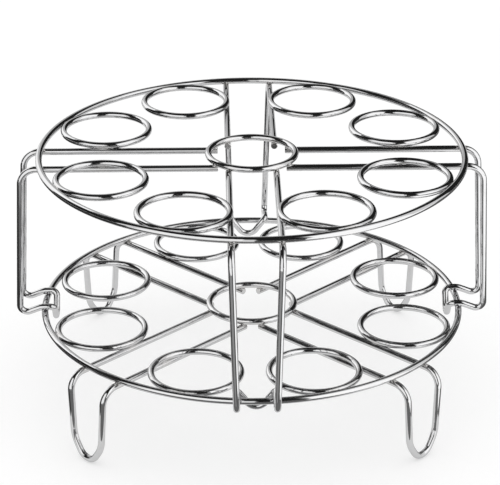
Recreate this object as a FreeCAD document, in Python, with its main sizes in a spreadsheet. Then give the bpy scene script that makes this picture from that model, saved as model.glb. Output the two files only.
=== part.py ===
"""Two-tier egg steaming rack of round stainless wire.

Each tier is a large ring that carries nine small hoops and four hairpin wires. The two sides of
a hairpin run level from the middle hoop out under the ring. On the lower tier the hairpins turn
down into feet. On the upper tier they turn down into long legs, whose tips reach over the lower
ring and dip inside it, so the upper tier stands on the lower one and lifts straight off.

Frame: millimetres, +Z up, origin on the surface the rack stands on, on the axis of the rings.
The upper legs stand on the X and Y axes and the feet on the diagonals between them.
"""
import FreeCAD
import Part
import math
import os

doc = FreeCAD.newDocument("egg_rack")

# Driving dimensions in millimetres. Heights of a leg or foot count from the ring plane it names,
# reaches count from the axis of the rack, and half gaps from the middle of a pair of wires.
DRIVING_DIMENSIONS = (
    ("wire_diameter", 3.0, "round wire of every piece"),
    ("weld_sink", 0.15, "depth that two wires sink into each other at a spot weld"),
    ("ring_radius", 95.5, "large ring, to the middle of its wire"),
    ("hoop_radius", 19.6, "egg hoop, to the middle of its wire"),
    ("lower_ring_height", 40.8, "plane of the lower ring above the table"),
    ("tier_pitch", 74.8, "plane of the upper ring above that of the lower ring"),
    ("pair_half_gap", 10.6, "wires of a pair where they run level under the hoops"),
    ("end_past_hoop", 1.2, "end of a wire inside the middle hoop's centre line"),
    ("shoulder_reach", 103.3, "corner where a level pair turns down"),
    ("shoulder_bend", 7.3, "bend radius of that corner"),
    ("leg_low_reach", 106.6, "lower corner of an upper leg"),
    ("leg_low_half_gap", 8.55, "wires of an upper leg at its lower corner"),
    ("leg_low_drop", 0.8, "lower corner below the lower ring plane"),
    ("leg_low_bend", 3.3, "bend radius of the lower corner"),
    ("ramp_reach", 96.6, "top of the ramp that climbs onto the lower ring"),
    ("ramp_bend", 7.0, "bend radius at the top of the ramp"),
    ("seat_clearance", 0.12, "air between a seated leg and the lower ring"),
    ("hook_reach", 90.6, "plane of the hook inside the lower ring"),
    ("hook_bend", 2.6, "bend radius where the wire dips into the hook"),
    ("hook_tip_drop", 8.2, "corner of the hook's tip below the lower ring plane"),
    ("hook_tip_bend", 5.0, "bend radius of the hook's tip"),
    ("foot_low_reach", 103.9, "tip of a foot"),
    ("knee_half_gap", 8.7, "knee where the two wires of a foot start to close"),
    ("knee_drop", 31.4, "knee below the lower ring plane"),
    ("knee_bend", 13.4, "bend radius of the knee"),
    ("foot_tip_bend", 6.2, "bend radius of the foot's tip"),
)

dims = doc.addObject("Spreadsheet::Sheet", "dims")
for row, (alias, value, meaning) in enumerate(DRIVING_DIMENSIONS, start=1):
    dims.set(f"A{row}", meaning)
    dims.set(f"B{row}", str(value))
    dims.setAlias(f"B{row}", alias)
doc.recompute()


def size(alias):
    """One driving dimension, read from the sheet."""
    return float(dims.get(alias))


# Expressions that several pieces share.
WIRE_RADIUS = "dims.wire_diameter / 2"
CONTACT = "(dims.wire_diameter - dims.weld_sink)"
LOWER_PLANE = "dims.lower_ring_height"
UPPER_PLANE = "(dims.lower_ring_height + dims.tier_pitch)"
HOOP_REACH = f"(dims.ring_radius - {CONTACT} - dims.hoop_radius)"
HOOP_ANGLE = f"asin((dims.pair_half_gap + dims.hoop_radius) / {HOOP_REACH})"

sub_parts = []


def add_wire_circle(label, radius, plane, across="0", along="0"):
    """A closed circle of round wire, lying level in a tier's plane."""
    circle = doc.addObject("Part::Torus", label)
    circle.Label = label
    circle.setExpression("Radius1", radius)
    circle.setExpression("Radius2", WIRE_RADIUS)
    circle.setExpression("Placement.Base.x", across)
    circle.setExpression("Placement.Base.y", along)
    circle.setExpression("Placement.Base.z", plane)
    sub_parts.append(circle)


def add_ring_and_hoops(tier, plane, first_leg_angle):
    """A tier's ring, its middle hoop and the eight hoops that touch the ring from inside.

    Two of the eight stand either side of each leg, turned from it until the hoop's wire runs
    over the nearer wire of the pair, so every hoop is held by the ring and by one leg.
    """
    add_wire_circle(f"{tier}_ring", "dims.ring_radius", plane)
    add_wire_circle(f"{tier}_centre_hoop", "dims.hoop_radius", plane)
    number = 0
    for quarter in range(4):
        for side in ("-", "+"):
            number += 1
            turn = f"({first_leg_angle + 90 * quarter}deg {side} {HOOP_ANGLE})"
            add_wire_circle(
                f"{tier}_egg_hoop_{number}",
                "dims.hoop_radius",
                plane,
                across=f"{HOOP_REACH} * cos({turn})",
                along=f"{HOOP_REACH} * sin({turn})",
            )


def bent_wire_path(corners, bends):
    """The centre line of a bent wire: straight runs between corners, each corner a tangent arc."""
    edges = []
    run_start = corners[0]
    for before, corner, after, bend in zip(corners, corners[1:], corners[2:], bends):
        back = (before - corner).normalize()
        ahead = (after - corner).normalize()
        half_angle = back.getAngle(ahead) / 2
        tangent_length = bend / math.tan(half_angle)
        to_centre = (back + ahead).normalize()
        centre = corner + to_centre * (bend / math.sin(half_angle))
        arc_start = corner + back * tangent_length
        arc_middle = centre - to_centre * bend
        arc_end = corner + ahead * tangent_length
        edges.append(Part.LineSegment(run_start, arc_start).toShape())
        edges.append(Part.Arc(arc_start, arc_middle, arc_end).toShape())
        run_start = arc_end
    edges.append(Part.LineSegment(run_start, corners[-1]).toShape())
    return Part.Wire(edges)


def add_hairpin(label, half_corners, half_bends, tip_corner, tip_bend, plane, angle):
    """A wire bent into a hairpin: one half, the tip on the middle plane, and the mirrored half.

    Corners are (reach, half gap, height above the tier's ring plane). The section is swept from
    one cut end to the other, then the piece is turned to its place round the rack.
    """
    half = [FreeCAD.Vector(*corner) for corner in half_corners]
    mirrored = [FreeCAD.Vector(corner.x, -corner.y, corner.z) for corner in reversed(half)]
    corners = half + [FreeCAD.Vector(*tip_corner)] + mirrored
    bends = list(half_bends) + [tip_bend] + list(reversed(half_bends))
    placement = FreeCAD.Placement(
        FreeCAD.Vector(0, 0, plane),
        FreeCAD.Rotation(FreeCAD.Vector(0, 0, 1), angle),
    )

    path = doc.addObject("Part::Feature", f"{label}_path")
    path.Shape = bent_wire_path(corners, bends)
    path.Placement = placement

    section = doc.addObject("Part::Circle", f"{label}_section")
    section.setExpression("Radius", WIRE_RADIUS)
    section.Placement = placement * FreeCAD.Placement(
        corners[0],
        FreeCAD.Rotation(FreeCAD.Vector(0, 0, 1), corners[1] - corners[0]),
    )

    hairpin = doc.addObject("Part::Sweep", label)
    hairpin.Label = label
    hairpin.Sections = [section]
    hairpin.Spine = (path, [f"Edge{i + 1}" for i in range(len(path.Shape.Edges))])
    hairpin.Solid = True
    hairpin.Frenet = False
    sub_parts.append(hairpin)


# Heights and reaches that follow from the sheet.
wire_diameter = size("wire_diameter")
level_run_height = size("weld_sink") - wire_diameter
hoop_crossing = math.sqrt(size("hoop_radius") ** 2 - size("pair_half_gap") ** 2)
wire_end = (hoop_crossing - size("end_past_hoop"), size("pair_half_gap"), level_run_height)
shoulder = (size("shoulder_reach"), size("pair_half_gap"), level_run_height)
lower_plane = size("lower_ring_height")
upper_plane = lower_plane + size("tier_pitch")

# Lower tier: ring, nine hoops and four feet on the diagonals.
add_ring_and_hoops("lower", LOWER_PLANE, 45)

knee_share = (size("knee_drop") + level_run_height) / (lower_plane + level_run_height)
knee_reach = size("shoulder_reach")
knee_reach += (size("foot_low_reach") - size("shoulder_reach")) * knee_share
knee = (knee_reach, size("knee_half_gap"), -size("knee_drop"))
SETTLING_STEPS = 60


def foot_tip_corner_height():
    """Height of the foot's tip corner that lets the rounded tip rest on the table.

    The tip's arc lies inside its corner by bend * (1 / sin(half angle) - 1), and the half angle
    depends on the corner's depth, so the depth is found by repeating the step until it settles.
    """
    rest_height = wire_diameter / 2 - lower_plane
    height = rest_height
    for _ in range(SETTLING_STEPS):
        rise = knee[2] - height
        lean = size("foot_low_reach") - knee[0]
        arm = math.hypot(size("knee_half_gap"), rise, lean)
        sine = size("knee_half_gap") / arm
        upright = math.hypot(rise, lean) / rise
        height = rest_height - size("foot_tip_bend") * (1 / sine - 1) / upright
    return height


foot_tip = (size("foot_low_reach"), 0, foot_tip_corner_height())
FOOT_PLACES = (("back_right", 45), ("back_left", 135), ("front_left", 225), ("front_right", 315))
for place, angle in FOOT_PLACES:
    add_hairpin(
        f"lower_foot_{place}",
        [wire_end, shoulder, knee],
        [size("shoulder_bend"), size("knee_bend")],
        foot_tip,
        size("foot_tip_bend"),
        lower_plane,
        angle,
    )

# Upper tier: ring, nine hoops and four legs on the axes, hooked over the lower ring.
add_ring_and_hoops("upper", UPPER_PLANE, 0)

pitch = size("tier_pitch")
seat_height = wire_diameter + size("seat_clearance") - pitch
low_half_gap = size("leg_low_half_gap")
low_corner = (size("leg_low_reach"), low_half_gap, -size("leg_low_drop") - pitch)
ramp_top = (size("ramp_reach"), low_half_gap, seat_height)
hook_top = (size("hook_reach"), low_half_gap, seat_height)
hook_tip = (size("hook_reach"), 0, -size("hook_tip_drop") - pitch)
LEG_PLACES = (("right", 0), ("back", 90), ("left", 180), ("front", 270))
for place, angle in LEG_PLACES:
    add_hairpin(
        f"upper_leg_{place}",
        [wire_end, shoulder, low_corner, ramp_top, hook_top],
        [size("shoulder_bend"), size("leg_low_bend"), size("ramp_bend"), size("hook_bend")],
        hook_tip,
        size("hook_tip_bend"),
        upper_plane,
        angle,
    )

doc.recompute()

# Every object has to be sound, and every wire's volume its section times its length.
section_area = math.pi * wire_diameter**2 / 4
VOLUME_TOLERANCE = 0.002
for thing in doc.Objects:
    if "Invalid" in thing.State or "Error" in thing.State:
        raise RuntimeError(f"{thing.Label} failed: {thing.State}")
for piece in sub_parts:
    if piece.Shape.isNull() or not piece.Shape.isValid() or len(piece.Shape.Solids) != 1:
        raise RuntimeError(f"{piece.Label} isn't one valid solid")
    if piece.TypeId == "Part::Sweep":
        length = piece.Spine[0].Shape.Length
    else:
        length = 2 * math.pi * piece.Radius1.Value
    if abs(piece.Shape.Volume / (section_area * length) - 1) > VOLUME_TOLERANCE:
        raise RuntimeError(f"{piece.Label} isn't round wire all along")

os.makedirs("parts", exist_ok=True)
for piece in sub_parts:
    piece.Shape.exportStep(f"parts/{piece.Label}.step")
print(f"{len(sub_parts)} wires written")
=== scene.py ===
"""A two-tier egg steaming rack of polished wire, standing on a pale floor in a small studio."""
import math

import bpy
import numpy as np
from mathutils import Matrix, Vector


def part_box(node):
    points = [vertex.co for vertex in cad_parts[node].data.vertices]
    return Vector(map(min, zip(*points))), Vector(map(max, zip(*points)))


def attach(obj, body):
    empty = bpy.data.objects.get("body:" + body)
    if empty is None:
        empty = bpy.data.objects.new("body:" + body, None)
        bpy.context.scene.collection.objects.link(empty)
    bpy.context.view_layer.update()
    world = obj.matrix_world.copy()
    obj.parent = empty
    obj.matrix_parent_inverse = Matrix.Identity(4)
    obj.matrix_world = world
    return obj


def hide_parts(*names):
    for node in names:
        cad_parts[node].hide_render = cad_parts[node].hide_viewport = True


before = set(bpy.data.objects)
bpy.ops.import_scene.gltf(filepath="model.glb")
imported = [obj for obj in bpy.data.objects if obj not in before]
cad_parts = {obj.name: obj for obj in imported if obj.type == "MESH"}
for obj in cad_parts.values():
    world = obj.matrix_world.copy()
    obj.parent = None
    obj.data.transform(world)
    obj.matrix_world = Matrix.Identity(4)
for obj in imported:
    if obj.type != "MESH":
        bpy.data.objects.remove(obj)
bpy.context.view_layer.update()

# The two large rings. Each is one length of bright drawn stainless wire, rolled to a circle, with its ends
# butt welded and ground flush. The outer hoops and the hairpins of a tier are spot welded to its ring.
TIERS = ("lower", "upper")
WIRE_RADIUS = 0.0015
RING_RADIUS = 0.0955
RING_STATIONS = 240
SECTION_POINTS = 40
SHARP_ANGLE = math.radians(35)
STEEL_EDGE_TINT = (0.78, 0.78, 0.78, 1.0)


def tier_plane(tier):
    """Height of a tier's ring, from the middle of its node."""
    low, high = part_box(f"{tier}_ring")
    return (low.z + high.z) / 2


def circle_path(centre, radius, stations):
    """A level circle, centre + radius * (cos a, sin a, 0), with its direction and its outward side."""
    turn = np.linspace(0, 2 * np.pi, stations, endpoint=False)
    level = np.zeros_like(turn)
    outward = np.stack([np.cos(turn), np.sin(turn), level], axis=1)
    along = np.stack([-np.sin(turn), np.cos(turn), level], axis=1)
    return np.asarray(centre) + radius * outward, along, outward


def wire_surface(path, along, side, radii):
    """A round section carried along a path: at station s and angle a round the wire, the point is
    path(s) + radius(s) * (cos a * side(s) + sin a * (along(s) x side(s)))."""
    turn = np.linspace(0, 2 * np.pi, SECTION_POINTS, endpoint=False)
    other_side = np.cross(along, side)
    round_wire = np.cos(turn)[:, None] * side[:, None] + np.sin(turn)[:, None] * other_side[:, None]
    return path[:, None] + radii[:, None, None] * round_wire


def grid_faces(stations, points, closed):
    """Quads between neighbouring stations of a grid that closes round its section."""
    station = np.arange(stations if closed else stations - 1)[:, None]
    point = np.arange(points)[None, :]
    after = (station + 1) % stations
    beside = (point + 1) % points
    corners = [station * points + point, station * points + beside]
    corners += [after * points + beside, after * points + point]
    return np.stack(corners, axis=2).reshape(-1, 4).tolist()


def add_wire(name, path, along, side, radii, closed):
    """A wire's mesh, with its cut ends capped, and its place round the section kept as an attribute."""
    surface = wire_surface(path, along, side, radii)
    stations, points = surface.shape[:2]
    faces = grid_faces(stations, points, closed)
    if not closed:
        last = (stations - 1) * points
        faces += [list(range(points - 1, -1, -1)), list(range(last, last + points))]
    mesh = bpy.data.meshes.new(name)
    mesh.from_pydata(surface.reshape(-1, 3).tolist(), [], faces)
    mesh.polygons.foreach_set("use_smooth", [True] * len(mesh.polygons))
    mesh.set_sharp_from_angle(angle=SHARP_ANGLE)
    turn = np.linspace(0, 2 * np.pi, points, endpoint=False)
    section = np.stack([np.cos(turn), np.sin(turn), np.zeros_like(turn)], axis=1)
    section = np.tile(section, (stations, 1)).astype(np.float32)
    mesh.attributes.new("section", "FLOAT_VECTOR", "POINT").data.foreach_set("vector", section.ravel())
    mesh.materials.append(bright_wire)
    piece = bpy.data.objects.new(name, mesh)
    bpy.context.scene.collection.objects.link(piece)
    return piece


def new_group(name, inputs, output):
    """An empty shader node group with these number sockets, and its first and last node."""
    group = bpy.data.node_groups.new(name, "ShaderNodeTree")
    for socket in inputs:
        group.interface.new_socket(socket, in_out="INPUT", socket_type="NodeSocketFloat")
    group.interface.new_socket(output, in_out="OUTPUT", socket_type="NodeSocketFloat")
    return group, group.nodes.new("NodeGroupInput"), group.nodes.new("NodeGroupOutput")


def math_node(tree, operation, first, second):
    """One step of arithmetic. Each side is a socket or a number."""
    node = tree.nodes.new("ShaderNodeMath")
    node.operation = operation
    for socket, value in zip(node.inputs, (first, second)):
        if isinstance(value, bpy.types.NodeSocket):
            tree.links.new(value, socket)
        else:
            socket.default_value = value
    return node.outputs["Value"]


def handling_haze_group():
    """Faint cloudy haze from handling and washing: two sizes of noise, kept where both are high."""
    details = {"Cloud Size": 3.0, "Spot Size": 2.0}
    clear_below = 0.42
    full_above = 0.72
    group, start, end = new_group("handling_haze", details, "Haze")
    place = group.nodes.new("ShaderNodeTexCoord")
    levels = []
    for socket, detail in details.items():
        noise = group.nodes.new("ShaderNodeTexNoise")
        noise.inputs["Detail"].default_value = detail
        group.links.new(place.outputs["Object"], noise.inputs["Vector"])
        group.links.new(start.outputs[socket], noise.inputs["Scale"])
        level = group.nodes.new("ShaderNodeMapRange")
        level.inputs["From Min"].default_value = clear_below
        level.inputs["From Max"].default_value = full_above
        group.links.new(noise.outputs["Fac"], level.inputs["Value"])
        levels.append(level.outputs["Result"])
    group.links.new(math_node(group, "MULTIPLY", *levels), end.inputs["Haze"])
    return group


def drawn_lines_group():
    """Fine lines that the drawing die leaves along a wire: noise across the section, wandering slowly."""
    drift_scale = 45.0
    line_detail = 4.0
    group, start, end = new_group("drawn_lines", ("Lines", "Wander"), "Line")
    section = group.nodes.new("ShaderNodeAttribute")
    section.attribute_name = "section"
    place = group.nodes.new("ShaderNodeTexCoord")
    drift = group.nodes.new("ShaderNodeTexNoise")
    drift.inputs["Scale"].default_value = drift_scale
    group.links.new(place.outputs["Object"], drift.inputs["Vector"])
    offset = group.nodes.new("ShaderNodeVectorMath")
    offset.operation = "SCALE"
    group.links.new(drift.outputs["Color"], offset.inputs[0])
    group.links.new(start.outputs["Wander"], offset.inputs["Scale"])
    moved = group.nodes.new("ShaderNodeVectorMath")
    moved.operation = "ADD"
    group.links.new(section.outputs["Vector"], moved.inputs[0])
    group.links.new(offset.outputs["Vector"], moved.inputs[1])
    lines = group.nodes.new("ShaderNodeTexNoise")
    lines.inputs["Detail"].default_value = line_detail
    group.links.new(moved.outputs["Vector"], lines.inputs["Vector"])
    group.links.new(start.outputs["Lines"], lines.inputs["Scale"])
    group.links.new(lines.outputs["Fac"], end.inputs["Line"])
    return group


def place_group(tree, group, **values):
    """One use of a node group in a material, with that material's own values."""
    node = tree.nodes.new("ShaderNodeGroup")
    node.node_tree = group
    for socket, value in values.items():
        node.inputs[socket.replace("_", " ")].default_value = value
    return node


def mix_colour(tree, share, first, second):
    """A colour between two, each a socket or a plain colour."""
    node = tree.nodes.new("ShaderNodeMix")
    node.data_type = "RGBA"
    sides = {socket.identifier: socket for socket in node.inputs}
    results = {socket.identifier: socket for socket in node.outputs}
    tree.links.new(share, sides["Factor_Float"])
    for socket, value in ((sides["A_Color"], first), (sides["B_Color"], second)):
        if isinstance(value, bpy.types.NodeSocket):
            tree.links.new(value, socket)
        else:
            socket.default_value = (*value, 1.0)
    return results["Result_Color"]


handling_haze = handling_haze_group()
drawn_lines = drawn_lines_group()


def bright_wire_material():
    """Bright stainless: a mirror with fine drawn lines, a little haze, and a warm dull halo at welds.
    Its edge tint is what steel keeps of an ideal mirror's reflection at a grazing view."""
    clean = (0.6, 0.6, 0.605)
    hazed = (0.54, 0.535, 0.53)
    heat_tint = (0.58, 0.55, 0.51)
    heat_share = 0.3
    haze_share = 0.6
    polish = 0.02
    haze_roughness = 0.06
    line_roughness = 0.04
    heat_roughness = 0.08
    line_strength = 0.05
    line_depth = 0.00002
    material = bpy.data.materials.new("bright_stainless_wire")
    material.use_nodes = True
    tree = material.node_tree
    metal = tree.nodes["Principled BSDF"]
    metal.inputs["Metallic"].default_value = 1.0
    metal.inputs["Specular Tint"].default_value = STEEL_EDGE_TINT
    haze = place_group(tree, handling_haze, Cloud_Size=55.0, Spot_Size=380.0).outputs["Haze"]
    line = place_group(tree, drawn_lines, Lines=13.0, Wander=0.1).outputs["Line"]
    weld_heat = tree.nodes.new("ShaderNodeAttribute")
    weld_heat.attribute_name = "weld_heat"
    heat = weld_heat.outputs["Fac"]
    tinted = mix_colour(tree, math_node(tree, "MULTIPLY", heat, heat_share), clean, heat_tint)
    colour = mix_colour(tree, math_node(tree, "MULTIPLY", haze, haze_share), tinted, hazed)
    tree.links.new(colour, metal.inputs["Base Color"])
    dulled = math_node(tree, "MULTIPLY", haze, haze_roughness)
    scratched = math_node(tree, "MULTIPLY", line, line_roughness)
    heated = math_node(tree, "MULTIPLY", heat, heat_roughness)
    rough = math_node(tree, "ADD", math_node(tree, "ADD", dulled, scratched), heated)
    tree.links.new(math_node(tree, "ADD", rough, polish), metal.inputs["Roughness"])
    bump = tree.nodes.new("ShaderNodeBump")
    bump.inputs["Strength"].default_value = line_strength
    bump.inputs["Distance"].default_value = line_depth
    tree.links.new(line, bump.inputs["Height"])
    tree.links.new(bump.outputs["Normal"], metal.inputs["Normal"])
    return material


bright_wire = bright_wire_material()


def finish_piece(piece, tier, node=None):
    """Rides a piece on its tier's body, in place of its CAD node if it has one."""
    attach(piece, f"{tier}_tier")
    if node:
        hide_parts(node)


wires = {tier: [] for tier in TIERS}


def add_circle(tier, node, middle, radius, stations):
    """A closed circle of wire, lying level about its middle, in place of its CAD node."""
    path, along, side = circle_path(middle, radius, stations)
    circle = add_wire(f"{node}_wire", path, along, side, np.full(stations, WIRE_RADIUS), closed=True)
    finish_piece(circle, tier, node)
    wires[tier].append(circle)


for tier in TIERS:
    add_circle(tier, f"{tier}_ring", (0, 0, tier_plane(tier)), RING_RADIUS, RING_STATIONS)

# The egg hoops, nine to a tier. Each is a small circle of the same wire, butt welded, lying level with the
# ring. Eight touch the ring from inside, in pairs about each hairpin, and one is in the middle. All are
# spot welded to the hairpins that they lie on.
HOOP_RADIUS = 0.0196
HOOP_STATIONS = 120
WELD_SINK = 0.00015
PAIR_HALF_GAP = 0.0106
HAIRPINS = 4
FIRST_HAIRPIN_ANGLE = {"lower": math.radians(45), "upper": 0.0}
TOUCHING = 2 * WIRE_RADIUS - WELD_SINK
HOOP_REACH = RING_RADIUS - TOUCHING - HOOP_RADIUS
HOOP_ANGLE = math.asin((PAIR_HALF_GAP + HOOP_RADIUS) / HOOP_REACH)


def hairpin_angle(tier, number):
    """Angle round the rack of one of a tier's hairpins, which stand evenly round it."""
    return FIRST_HAIRPIN_ANGLE[tier] + number * 2 * math.pi / HAIRPINS


for tier in TIERS:
    plane = tier_plane(tier)
    add_circle(tier, f"{tier}_centre_hoop", (0, 0, plane), HOOP_RADIUS, HOOP_STATIONS)
    for number in range(2 * HAIRPINS):
        sign = 1 if number % 2 else -1
        turn = hairpin_angle(tier, number // 2) + sign * HOOP_ANGLE
        middle = (HOOP_REACH * math.cos(turn), HOOP_REACH * math.sin(turn), plane)
        add_circle(tier, f"{tier}_egg_hoop_{number + 1}", middle, HOOP_RADIUS, HOOP_STATIONS)

# The four feet of the lower tier. Each is one wire bent to a hairpin: its two ends lie under the middle
# hoop, run out side by side under the ring, turn down and close to a round tip that stands on the floor.
END_PAST_HOOP = 0.0012
SHOULDER_REACH = 0.1033
SHOULDER_BEND = 0.0073
FOOT_TIP_REACH = 0.1039
FOOT_TIP_BEND = 0.0062
KNEE_HALF_GAP = 0.0087
KNEE_DROP = 0.0314
KNEE_BEND = 0.0134
CUT_END_BEVEL = 0.0002
RUN_STEP = 0.002
BEND_STEP = math.radians(6)
SETTLING_STEPS = 60
FOOT_PLACES = ("back_right", "back_left", "front_left", "front_right")


def straight_run(start, finish, heading, side):
    """Even stations from start up to, and without, finish, with one direction and side."""
    count = max(1, math.ceil(np.linalg.norm(finish - start) / RUN_STEP))
    share = np.linspace(0, 1, count, endpoint=False)[:, None]
    ones = np.ones_like(share)
    return start + share * (finish - start), ones * heading, ones * side


def bent_path(corners, bends):
    """A bent wire's centre line: straight runs between corners, each corner a tangent arc.
    Along an arc the direction and the side vector turn together about the arc's axis, so that the section
    never twists: v(f) = v cos f + (axis x v) sin f + axis (axis . v) (1 - cos f)."""
    corners = np.asarray(corners, float)
    runs = np.diff(corners, axis=0)
    heading = runs / np.linalg.norm(runs, axis=1, keepdims=True)
    side = np.cross(heading[0], np.cross((0.0, 0.0, 1.0), heading[0]))
    stretches = []
    reached = corners[0]
    for corner, way_in, way_out, bend in zip(corners[1:], heading, heading[1:], bends):
        turn = math.acos(np.clip(way_in @ way_out, -1, 1))
        axis = np.cross(way_in, way_out)
        axis /= np.linalg.norm(axis)
        inward = np.cross(axis, way_in)
        arc_start = corner - way_in * bend * math.tan(turn / 2)
        stretches.append(straight_run(reached, arc_start, way_in, side))
        turned = np.linspace(0, turn, math.ceil(turn / BEND_STEP) + 1)[1:, None]
        points = arc_start + bend * (np.sin(turned) * way_in + (1 - np.cos(turned)) * inward)
        directions = np.cos(turned) * way_in + np.sin(turned) * inward
        sides = np.cos(turned) * side + np.sin(turned) * np.cross(axis, side)
        sides = sides + (1 - np.cos(turned)) * axis * (axis @ side)
        stretches.append((points, directions, sides))
        reached = points[-1]
        side = sides[-1]
    last_run = straight_run(reached, corners[-1], heading[-1], side)
    end = (corners[-1:], heading[-1:], side[None])
    return [np.concatenate(part) for part in zip(*stretches, last_run, end)]


def hairpin_path(half, half_bends, tip, tip_bend, angle, plane):
    """A hairpin from its half: corners (reach, half gap, height over the ring plane), then the tip, then
    the mirrored half, turned to its place round the rack and lifted to its tier."""
    half = np.asarray(half, float)
    mirrored = half[::-1] * (1, -1, 1)
    corners = np.concatenate([half, [tip], mirrored])
    cosine = math.cos(angle)
    sine = math.sin(angle)
    turn = np.array([[cosine, sine, 0], [-sine, cosine, 0], [0, 0, 1]])
    return bent_path(corners @ turn + (0, 0, plane), [*half_bends, tip_bend, *half_bends[::-1]])


def cut_ends(path, along, side):
    """The wire's stations and radii, with a small bevel round each sheared end."""
    inset = along[[0, -1]] * CUT_END_BEVEL * np.array([[1], [-1]])
    path = np.concatenate([path[:1], path[:1] + inset[:1], path[1:-1], path[-1:] + inset[1:], path[-1:]])
    along = np.concatenate([along[:1], along, along[-1:]])
    side = np.concatenate([side[:1], side, side[-1:]])
    radii = np.full(len(path), WIRE_RADIUS)
    radii[[0, -1]] -= CUT_END_BEVEL
    return path, along, side, radii


def add_hairpin(tier, node, path):
    """A hairpin's wire, with its two cut ends, in place of its CAD node."""
    hairpin = add_wire(f"{node}_wire", *cut_ends(*path), closed=False)
    finish_piece(hairpin, tier, node)
    wires[tier].append(hairpin)


def tip_corner_height(knee, tip_reach, bend, lowest):
    """Height of a tip's corner that puts the lowest point of its rounded bend at a given height: the bend
    lies inside the corner by bend * (1 / sin(half angle) - 1), found by repeating until it settles."""
    height = lowest
    lean = tip_reach - knee[0]
    for _ in range(SETTLING_STEPS):
        rise = knee[2] - height
        sine = knee[1] / math.hypot(knee[1], rise, lean)
        height = lowest - bend * (1 / sine - 1) * rise / math.hypot(rise, lean)
    return height


level_height = -TOUCHING
hoop_crossing = math.sqrt(HOOP_RADIUS**2 - PAIR_HALF_GAP**2)
wire_end = (hoop_crossing - END_PAST_HOOP, PAIR_HALF_GAP, level_height)
shoulder = (SHOULDER_REACH, PAIR_HALF_GAP, level_height)
lower_plane = tier_plane("lower")
knee_share = (KNEE_DROP + level_height) / (lower_plane + level_height)
knee_reach = SHOULDER_REACH + (FOOT_TIP_REACH - SHOULDER_REACH) * knee_share
knee = (knee_reach, KNEE_HALF_GAP, -KNEE_DROP)
tip_height = tip_corner_height(knee, FOOT_TIP_REACH, FOOT_TIP_BEND, WIRE_RADIUS - lower_plane)
for number, place in enumerate(FOOT_PLACES):
    path = hairpin_path(
        [wire_end, shoulder, knee],
        [SHOULDER_BEND, KNEE_BEND],
        (FOOT_TIP_REACH, 0, tip_height),
        FOOT_TIP_BEND,
        hairpin_angle("lower", number),
        lower_plane,
    )
    add_hairpin("lower", f"lower_foot_{place}", path)

# The four legs of the upper tier. Each is a longer hairpin: out under the ring, down with a slight splay,
# back in up a short ramp to stand on the lower ring, and down inside it as a hook that keeps the tier from
# sliding. Nothing fixes the legs to the lower tier, so the upper one lifts straight off.
LEG_LOW_REACH = 0.1066
LEG_LOW_HALF_GAP = 0.00855
LEG_LOW_DROP = 0.0008
LEG_LOW_BEND = 0.0033
RAMP_REACH = 0.0966
RAMP_BEND = 0.007
SEAT_CLEARANCE = 0.00012
HOOK_REACH = 0.0906
HOOK_BEND = 0.0026
HOOK_TIP_DROP = 0.0082
HOOK_TIP_BEND = 0.005
LEG_PLACES = ("right", "back", "left", "front")

upper_plane = tier_plane("upper")
pitch = upper_plane - lower_plane
seat_height = 2 * WIRE_RADIUS + SEAT_CLEARANCE - pitch
low_corner = (LEG_LOW_REACH, LEG_LOW_HALF_GAP, -LEG_LOW_DROP - pitch)
ramp_top = (RAMP_REACH, LEG_LOW_HALF_GAP, seat_height)
hook_top = (HOOK_REACH, LEG_LOW_HALF_GAP, seat_height)
for number, place in enumerate(LEG_PLACES):
    path = hairpin_path(
        [wire_end, shoulder, low_corner, ramp_top, hook_top],
        [SHOULDER_BEND, LEG_LOW_BEND, RAMP_BEND, HOOK_BEND],
        (HOOK_REACH, 0, -HOOK_TIP_DROP - pitch),
        HOOK_TIP_BEND,
        hairpin_angle("upper", number),
        upper_plane,
    )
    add_hairpin("upper", f"upper_leg_{place}", path)

# The spot welds. Where two wires touch, current melts them together under pressure: they sink into each
# other and a little metal is squeezed out as a concave collar, round at a crossing and long in a groove.
CROSSING_COLLAR = (0.00125, 0.00125)
GROOVE_COLLAR = (0.0042, 0.00115)
COLLAR_PINCH = 0.28
COLLAR_BURIED = 0.0001
COLLAR_TURN_POINTS = 28
COLLAR_RISE_POINTS = 9
HEAT_REACH = 0.0032


def tier_welds(tier):
    """Every weld of a tier: a point midway between the wires, the way from the first wire to the second,
    the direction of each wire, and the collar's half length and half width."""
    plane = tier_plane(tier)
    up = np.array([0.0, 0.0, 1.0])
    welds = []
    for number in range(HAIRPINS):
        angle = hairpin_angle(tier, number)
        out = np.array([math.cos(angle), math.sin(angle), 0.0])
        across = np.cross(up, out)
        for sign in (-1, 1):
            for radius in (RING_RADIUS, HOOP_RADIUS):
                reach = math.sqrt(radius**2 - PAIR_HALF_GAP**2)
                over = out * reach + across * sign * PAIR_HALF_GAP
                point = over + up * (plane - TOUCHING / 2)
                welds.append((point, up, out, np.cross(up, over) / radius, CROSSING_COLLAR))
            point = out * HOOP_REACH * math.cos(HOOP_ANGLE) + across * sign * PAIR_HALF_GAP
            welds.append((point + up * (plane - TOUCHING / 2), up, out, out, GROOVE_COLLAR))
            hoop_turn = angle + sign * HOOP_ANGLE
            outward = np.array([math.cos(hoop_turn), math.sin(hoop_turn), 0.0])
            rim = np.cross(up, outward)
            point = outward * (RING_RADIUS - TOUCHING / 2) + up * plane
            welds.append((point, outward, rim, rim, GROOVE_COLLAR))
    return welds


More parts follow.
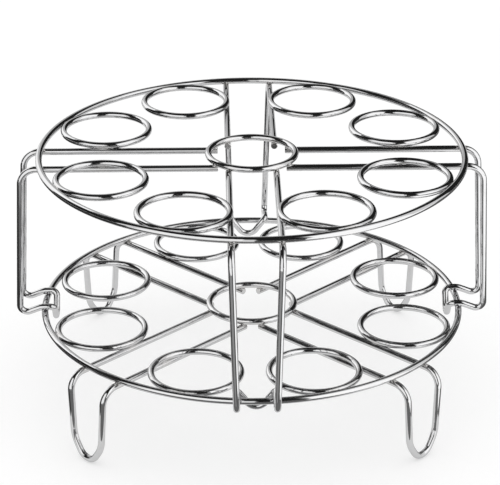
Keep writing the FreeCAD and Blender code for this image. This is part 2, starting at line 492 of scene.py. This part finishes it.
def collar_surface(point, rise, first, second, size):
    """A weld's collar as a grid of turn a and climb t. Its footprint is an ellipse about the contact. At
    t = 0 and 1 its rim lies just inside the two wires, at sqrt(wire radius^2 - distance from the axis^2),
    and between them it is drawn in by the pinch: radius(t) = radius * (1 - pinch * (1 - (2 t - 1)^2))."""
    sideways = np.cross(rise, first)
    turn = np.linspace(0, 2 * np.pi, COLLAR_TURN_POINTS, endpoint=False)[None, :]
    climb = np.linspace(0, 1, COLLAR_RISE_POINTS)[:, None]
    x = size[0] * np.cos(turn)
    y = size[1] * np.sin(turn)
    buried = WIRE_RADIUS - COLLAR_BURIED
    off_first = y
    off_second = x * (sideways @ second) - y * (first @ second)
    bottom = -TOUCHING / 2 + np.sqrt(np.maximum(buried**2 - off_first**2, 0))
    top = TOUCHING / 2 - np.sqrt(np.maximum(buried**2 - off_second**2, 0))
    drawn_in = 1 - COLLAR_PINCH * (1 - (2 * climb - 1) ** 2)
    height = bottom + climb * (top - bottom)
    sheet = (x * drawn_in)[..., None] * first + (y * drawn_in)[..., None] * sideways
    return point + sheet + height[..., None] * rise


def weld_material():
    """Weld metal: the same stainless, a little rippled, duller and warmer than the wire."""
    bright = (0.57, 0.565, 0.56)
    dull = (0.48, 0.46, 0.435)
    polish = 0.12
    haze_roughness = 0.15
    ripple_scale = 1800.0
    ripple_strength = 0.3
    ripple_depth = 0.00006
    material = bpy.data.materials.new("weld_metal")
    material.use_nodes = True
    tree = material.node_tree
    metal = tree.nodes["Principled BSDF"]
    metal.inputs["Metallic"].default_value = 1.0
    metal.inputs["Specular Tint"].default_value = STEEL_EDGE_TINT
    haze = place_group(tree, handling_haze, Cloud_Size=300.0, Spot_Size=1500.0).outputs["Haze"]
    tree.links.new(mix_colour(tree, haze, bright, dull), metal.inputs["Base Color"])
    rough = math_node(tree, "ADD", math_node(tree, "MULTIPLY", haze, haze_roughness), polish)
    tree.links.new(rough, metal.inputs["Roughness"])
    place = tree.nodes.new("ShaderNodeTexCoord")
    ripple = tree.nodes.new("ShaderNodeTexNoise")
    ripple.inputs["Scale"].default_value = ripple_scale
    tree.links.new(place.outputs["Object"], ripple.inputs["Vector"])
    bump = tree.nodes.new("ShaderNodeBump")
    bump.inputs["Strength"].default_value = ripple_strength
    bump.inputs["Distance"].default_value = ripple_depth
    tree.links.new(ripple.outputs["Fac"], bump.inputs["Height"])
    tree.links.new(bump.outputs["Normal"], metal.inputs["Normal"])
    return material


def weld_mesh(name, welds):
    """All collars of a tier as one mesh of closed shells, each with a pole inside either wire."""
    grid = COLLAR_TURN_POINTS * COLLAR_RISE_POINTS
    bottom_pole = grid
    top_pole = grid + 1
    shell_points = grid + 2
    walls = np.array(grid_faces(COLLAR_RISE_POINTS, COLLAR_TURN_POINTS, closed=False))
    rim = np.arange(COLLAR_TURN_POINTS)
    beside = (rim + 1) % COLLAR_TURN_POINTS
    top_rim = grid - COLLAR_TURN_POINTS
    bottom_fan = np.stack([beside, rim, np.full_like(rim, bottom_pole)], axis=1)
    top_fan = np.stack([top_rim + rim, top_rim + beside, np.full_like(rim, top_pole)], axis=1)
    vertices = []
    faces = []
    for number, weld in enumerate(welds):
        surface = collar_surface(*weld)
        poles = [surface[0].mean(axis=0), surface[-1].mean(axis=0)]
        vertices.append(np.concatenate([surface.reshape(-1, 3), poles]))
        for part in (walls, bottom_fan, top_fan):
            faces += (part + number * shell_points).tolist()
    mesh = bpy.data.meshes.new(name)
    mesh.from_pydata(np.concatenate(vertices).tolist(), [], faces)
    mesh.polygons.foreach_set("use_smooth", [True] * len(mesh.polygons))
    return mesh


weld_metal = weld_material()
for tier in TIERS:
    welds = tier_welds(tier)
    mesh = weld_mesh(f"{tier}_spot_welds", welds)
    mesh.materials.append(weld_metal)
    collars = bpy.data.objects.new(f"{tier}_spot_welds", mesh)
    bpy.context.scene.collection.objects.link(collars)
    finish_piece(collars, tier)
    hot_points = np.array([weld[0] for weld in welds])
    for wire in wires[tier]:
        places = np.zeros(len(wire.data.vertices) * 3, np.float32)
        wire.data.vertices.foreach_get("co", places)
        apart = np.linalg.norm(places.reshape(-1, 1, 3) - hot_points, axis=2).min(axis=1)
        heat = np.exp(-((apart / HEAT_REACH) ** 2)).astype(np.float32)
        wire.data.attributes.new("weld_heat", "FLOAT", "POINT").data.foreach_set("value", heat)

# The floor: one wide pale matt sheet, which runs out to the white surround. It is lifted to white where it
# is seen, by the camera or in the metal, so that only the rack's soft shadow shows on it.
WHITE = (1.0, 1.0, 1.0, 1.0)
FLOOR_SIZE = 6.0
FLOOR_COLOUR = (0.55, 0.55, 0.55, 1.0)
FLOOR_LIFT = 0.47


def sheet_object(name, surface, material):
    """An object from a grid of points."""
    rows, columns = surface.shape[:2]
    row = np.arange(rows - 1)[:, None]
    column = np.arange(columns - 1)[None, :]
    corner = row * columns + column
    faces = np.stack([corner, corner + 1, corner + columns + 1, corner + columns], axis=2)
    mesh = bpy.data.meshes.new(name)
    mesh.from_pydata(surface.reshape(-1, 3).tolist(), [], faces.reshape(-1, 4).tolist())
    mesh.materials.append(material)
    made = bpy.data.objects.new(name, mesh)
    bpy.context.scene.collection.objects.link(made)
    return made


def seen_as_background(tree):
    """1 for rays from the camera, reflections and refractions, 0 for the light that falls on things."""
    rays = tree.nodes.new("ShaderNodeLightPath")
    seen = math_node(tree, "MAXIMUM", rays.outputs["Is Camera Ray"], rays.outputs["Is Glossy Ray"])
    return math_node(tree, "MAXIMUM", seen, rays.outputs["Is Transmission Ray"])


def floor_material():
    """Pale matt floor, with a glow that only rays which see it as background meet."""
    material = bpy.data.materials.new("pale_floor")
    material.use_nodes = True
    tree = material.node_tree
    matt = tree.nodes["Principled BSDF"]
    matt.inputs["Base Color"].default_value = FLOOR_COLOUR
    matt.inputs["Roughness"].default_value = 1.0
    matt.inputs["Specular IOR Level"].default_value = 0.0
    matt.inputs["Emission Color"].default_value = WHITE
    lift = math_node(tree, "MULTIPLY", seen_as_background(tree), FLOOR_LIFT)
    tree.links.new(lift, matt.inputs["Emission Strength"])
    return material


half = FLOOR_SIZE / 2
floor_corners = np.array([[(-half, -half, 0), (-half, half, 0)], [(half, -half, 0), (half, half, 0)]])
sheet_object("floor", floor_corners, floor_material())

# The flags and soft boxes. Polished wire shows what stands round it, so cloth flags and lit boxes stand on
# the floor about the rack, out of the picture. Only reflections see them, over the white of the surround.
GEAR_DISTANCE = 1.8
PANEL_STEPS = 41
PANEL_EDGE = 0.05
FLAG_TOP = 3.0
LOW_FLAG_TOP = 2.2
BOX_TOP = 2.4
LOW_BOX_TOP = 2.2
BLACK_CLOTH = 0.02
GREY_CLOTH = 0.7
BOX_GLOW = 1.6
SOFT_BOX_GLOW = 1.4


def panel_material(name, brightness):
    """A panel of one brightness, where 1 is white, that thins out to nothing where its cover is 0."""
    material = bpy.data.materials.new(name)
    material.use_nodes = True
    tree = material.node_tree
    tree.nodes.remove(tree.nodes["Principled BSDF"])
    cover = tree.nodes.new("ShaderNodeAttribute")
    cover.attribute_name = "cover"
    nothing = tree.nodes.new("ShaderNodeBsdfTransparent")
    glow = tree.nodes.new("ShaderNodeEmission")
    glow.inputs["Strength"].default_value = brightness
    both = tree.nodes.new("ShaderNodeMixShader")
    tree.links.new(cover.outputs["Fac"], both.inputs["Fac"])
    tree.links.new(nothing.outputs["BSDF"], both.inputs[1])
    tree.links.new(glow.outputs["Emission"], both.inputs[2])
    tree.links.new(both.outputs["Shader"], tree.nodes["Material Output"].inputs["Surface"])
    return material


def panel(name, corners, brightness, fade=0.0):
    """A flat sheet between four corners a, b, c, d, taken round it: the point at s along and t up is
    (1 - t) ((1 - s) a + s b) + t ((1 - s) d + s c). It thins out within fade of its edges."""
    first, second, third, fourth = np.asarray(corners, float)
    share = np.linspace(0, 1, PANEL_STEPS)
    along = share[:, None, None]
    up = share[None, :, None]
    near_side = (1 - along) * first + along * second
    far_side = (1 - along) * fourth + along * third
    made = sheet_object(name, (1 - up) * near_side + up * far_side, panel_material(name, brightness))
    cover = np.ones((PANEL_STEPS, PANEL_STEPS), np.float32)
    if fade:
        inside = np.minimum(share, 1 - share)
        from_sides = inside[:, None] * np.linalg.norm(second - first)
        from_ends = inside[None, :] * np.linalg.norm(fourth - first)
        cover[:] = np.clip(np.minimum(from_sides, from_ends) / fade, 0, 1)
    made.data.attributes.new("cover", "FLOAT", "POINT").data.foreach_set("value", cover.ravel())
    made.visible_camera = False
    made.visible_diffuse = False
    made.visible_shadow = False
    made.visible_transmission = False


def toward(azimuth, distance, height):
    """A point at a distance from the rack's axis. Azimuth 0 is the camera's side and 90 is the right."""
    turn = math.radians(azimuth)
    return (distance * math.sin(turn), -distance * math.cos(turn), height)


def standing_panel(name, first_azimuth, last_azimuth, top, brightness):
    """A panel that stands on the floor between two azimuths, its middle at the gear's distance."""
    half_span = math.radians(last_azimuth - first_azimuth) / 2
    reach = GEAR_DISTANCE / math.cos(half_span)
    feet = [toward(azimuth, reach, 0) for azimuth in (first_azimuth, last_azimuth)]
    tops = [toward(azimuth, reach, top) for azimuth in (last_azimuth, first_azimuth)]
    panel(name, feet + tops, brightness, PANEL_EDGE)


standing_panel("black_flag_left", -120, -70, FLAG_TOP, BLACK_CLOTH)
standing_panel("soft_box_left", -60, -5, LOW_BOX_TOP, SOFT_BOX_GLOW)
standing_panel("black_flag_front", 0, 28, FLAG_TOP, BLACK_CLOTH)
standing_panel("soft_box_right", 28, 85, BOX_TOP, BOX_GLOW)
standing_panel("black_flag_right", 115, 175, FLAG_TOP, BLACK_CLOTH)
standing_panel("grey_flag_back", 175, 195, LOW_FLAG_TOP, GREY_CLOTH)
standing_panel("soft_box_back", -160, -120, BOX_TOP, BOX_GLOW)

# The floor cards: thin sheets of dark and grey card that lie on the floor outside the picture, for
# the wires to mirror from below. Two more cards glow as bright as the soft box that each lies before: a
# painted reflection of that box.
CARD_THICKNESS = 0.0005
GREY_CARD_REACH = 0.45
BLACK_CARD = 0.05
CHARCOAL_CARD = 0.1
DARK_CARD = 0.15
DARK_STRIP = 0.2
GREY_CARD = 0.4


def edge_from(reach, azimuth):
    """A card's edge that starts at a reach from the rack's axis and runs straight out."""
    return toward(azimuth, reach, 0)[:2], azimuth


def floor_card(name, first_edge, last_edge, reach, brightness):
    """A card on the floor between two edges, out to a reach from the rack's axis. Each edge is a point
    and the azimuth that it runs out to."""
    near = [(*point, CARD_THICKNESS) for point, azimuth in (first_edge, last_edge)]
    far = [toward(azimuth, reach, CARD_THICKNESS) for point, azimuth in (last_edge, first_edge)]
    panel(name, near + far, brightness)


back_left_edge = ((-0.145, 0.2), -120)
front_left_edge = ((-0.115, -0.1), -65)
strip_left_edge = ((-0.34, -0.2), -60)
front_edge = ((0.0, -0.2), 0)
front_right_edge = ((0.08, -0.2), 25)
right_edge = ((0.11, -0.1), 105)
back_right_edge = ((0.15, 0.2), 150)
far_left_edge = edge_from(GREY_CARD_REACH, strip_left_edge[1])
far_front_edge = edge_from(GREY_CARD_REACH, front_edge[1])
floor_card("black_card_left", back_left_edge, front_left_edge, GEAR_DISTANCE, BLACK_CARD)
floor_card("grey_card_front", strip_left_edge, front_edge, GREY_CARD_REACH, GREY_CARD)
# This card glows as bright as the left soft box: a painted reflection of that box.
floor_card("painted_reflection_card_left", far_left_edge, far_front_edge, GEAR_DISTANCE, SOFT_BOX_GLOW)
floor_card("black_card_front", front_edge, front_right_edge, GEAR_DISTANCE, CHARCOAL_CARD)
# This card glows as bright as the right soft box: a painted reflection of that box.
floor_card("painted_reflection_card_right", front_right_edge, right_edge, GEAR_DISTANCE, BOX_GLOW)
floor_card("dark_card_right", right_edge, back_right_edge, GEAR_DISTANCE, DARK_CARD)
strip = [edge[0] for edge in (front_left_edge, right_edge, front_right_edge, strip_left_edge)]
panel("dark_strip_front", [(x, y, CARD_THICKNESS) for x, y in strip], DARK_STRIP)

# The overhead flag: a wide black cloth hung flat over the rack, with soft edges. It gives the tops of the
# level wires their dark line. Like the other gear, it shows only in reflections.
OVERHEAD_HEIGHT = 2.0
OVERHEAD_WIDTH = 3.0
OVERHEAD_LENGTH = 6.0
OVERHEAD_SHIFT = -0.3
OVERHEAD_EDGE = 0.6

left = OVERHEAD_SHIFT - OVERHEAD_WIDTH / 2
right = OVERHEAD_SHIFT + OVERHEAD_WIDTH / 2
front = -OVERHEAD_LENGTH / 2
back = OVERHEAD_LENGTH / 2
overhead = [(left, front), (right, front), (right, back), (left, back)]
panel("black_flag_overhead", [(x, y, OVERHEAD_HEIGHT) for x, y in overhead], BLACK_CLOTH, OVERHEAD_EDGE)

# The light: an even white surround, dimmer in the light that it throws than where it is seen, and one very
# broad soft lamp straight above, which doesn't show in the metal.
AMBIENT = 0.45
SKYLIGHT = 1.75
SKYLIGHT_SPREAD = math.radians(100)

world = bpy.data.worlds.new("white_studio")
bpy.context.scene.world = world
world.use_nodes = True
sky = world.node_tree
ambient = sky.nodes["Background"]
ambient.inputs["Color"].default_value = WHITE
ambient.inputs["Strength"].default_value = AMBIENT
surround = sky.nodes.new("ShaderNodeBackground")
surround.inputs["Color"].default_value = WHITE
surround.inputs["Strength"].default_value = 1.0
seen_or_lit = sky.nodes.new("ShaderNodeMixShader")
sky.links.new(seen_as_background(sky), seen_or_lit.inputs["Fac"])
sky.links.new(ambient.outputs["Background"], seen_or_lit.inputs[1])
sky.links.new(surround.outputs["Background"], seen_or_lit.inputs[2])
sky.links.new(seen_or_lit.outputs["Shader"], sky.nodes["World Output"].inputs["Surface"])

skylight = bpy.data.lights.new("skylight", "SUN")
skylight.energy = SKYLIGHT
skylight.angle = SKYLIGHT_SPREAD
lamp = bpy.data.objects.new("skylight", skylight)
lamp.visible_glossy = False
bpy.context.scene.collection.objects.link(lamp)

# The camera stands about a metre off, a little to the left of the front leg, and looks down on the rack.
# Its place and lens follow from how the two rings, level circles of one size, lie in the picture.
CAMERA_AZIMUTH = math.radians(-1.2)
CAMERA_ELEVATION = math.radians(24.27)
CAMERA_DISTANCE = 0.9758
CAMERA_LENS = 153.36
AIM_HEIGHT = 0.0715
AIM_RIGHT = -0.0008

to_camera = Vector(
    (
        math.sin(CAMERA_AZIMUTH) * math.cos(CAMERA_ELEVATION),
        -math.cos(CAMERA_AZIMUTH) * math.cos(CAMERA_ELEVATION),
        math.sin(CAMERA_ELEVATION),
    )
)
rightward = Vector((math.cos(CAMERA_AZIMUTH), math.sin(CAMERA_AZIMUTH), 0.0))
aim = rightward * AIM_RIGHT + Vector((0, 0, AIM_HEIGHT))
optics = bpy.data.cameras.new("camera")
optics.lens = CAMERA_LENS
camera = bpy.data.objects.new("camera", optics)
camera.location = aim + to_camera * CAMERA_DISTANCE
camera.rotation_euler = to_camera.to_track_quat("Z", "Y").to_euler()
bpy.context.scene.collection.objects.link(camera)
bpy.context.scene.camera = camera
bpy.context.scene.view_settings.view_transform = "Standard"
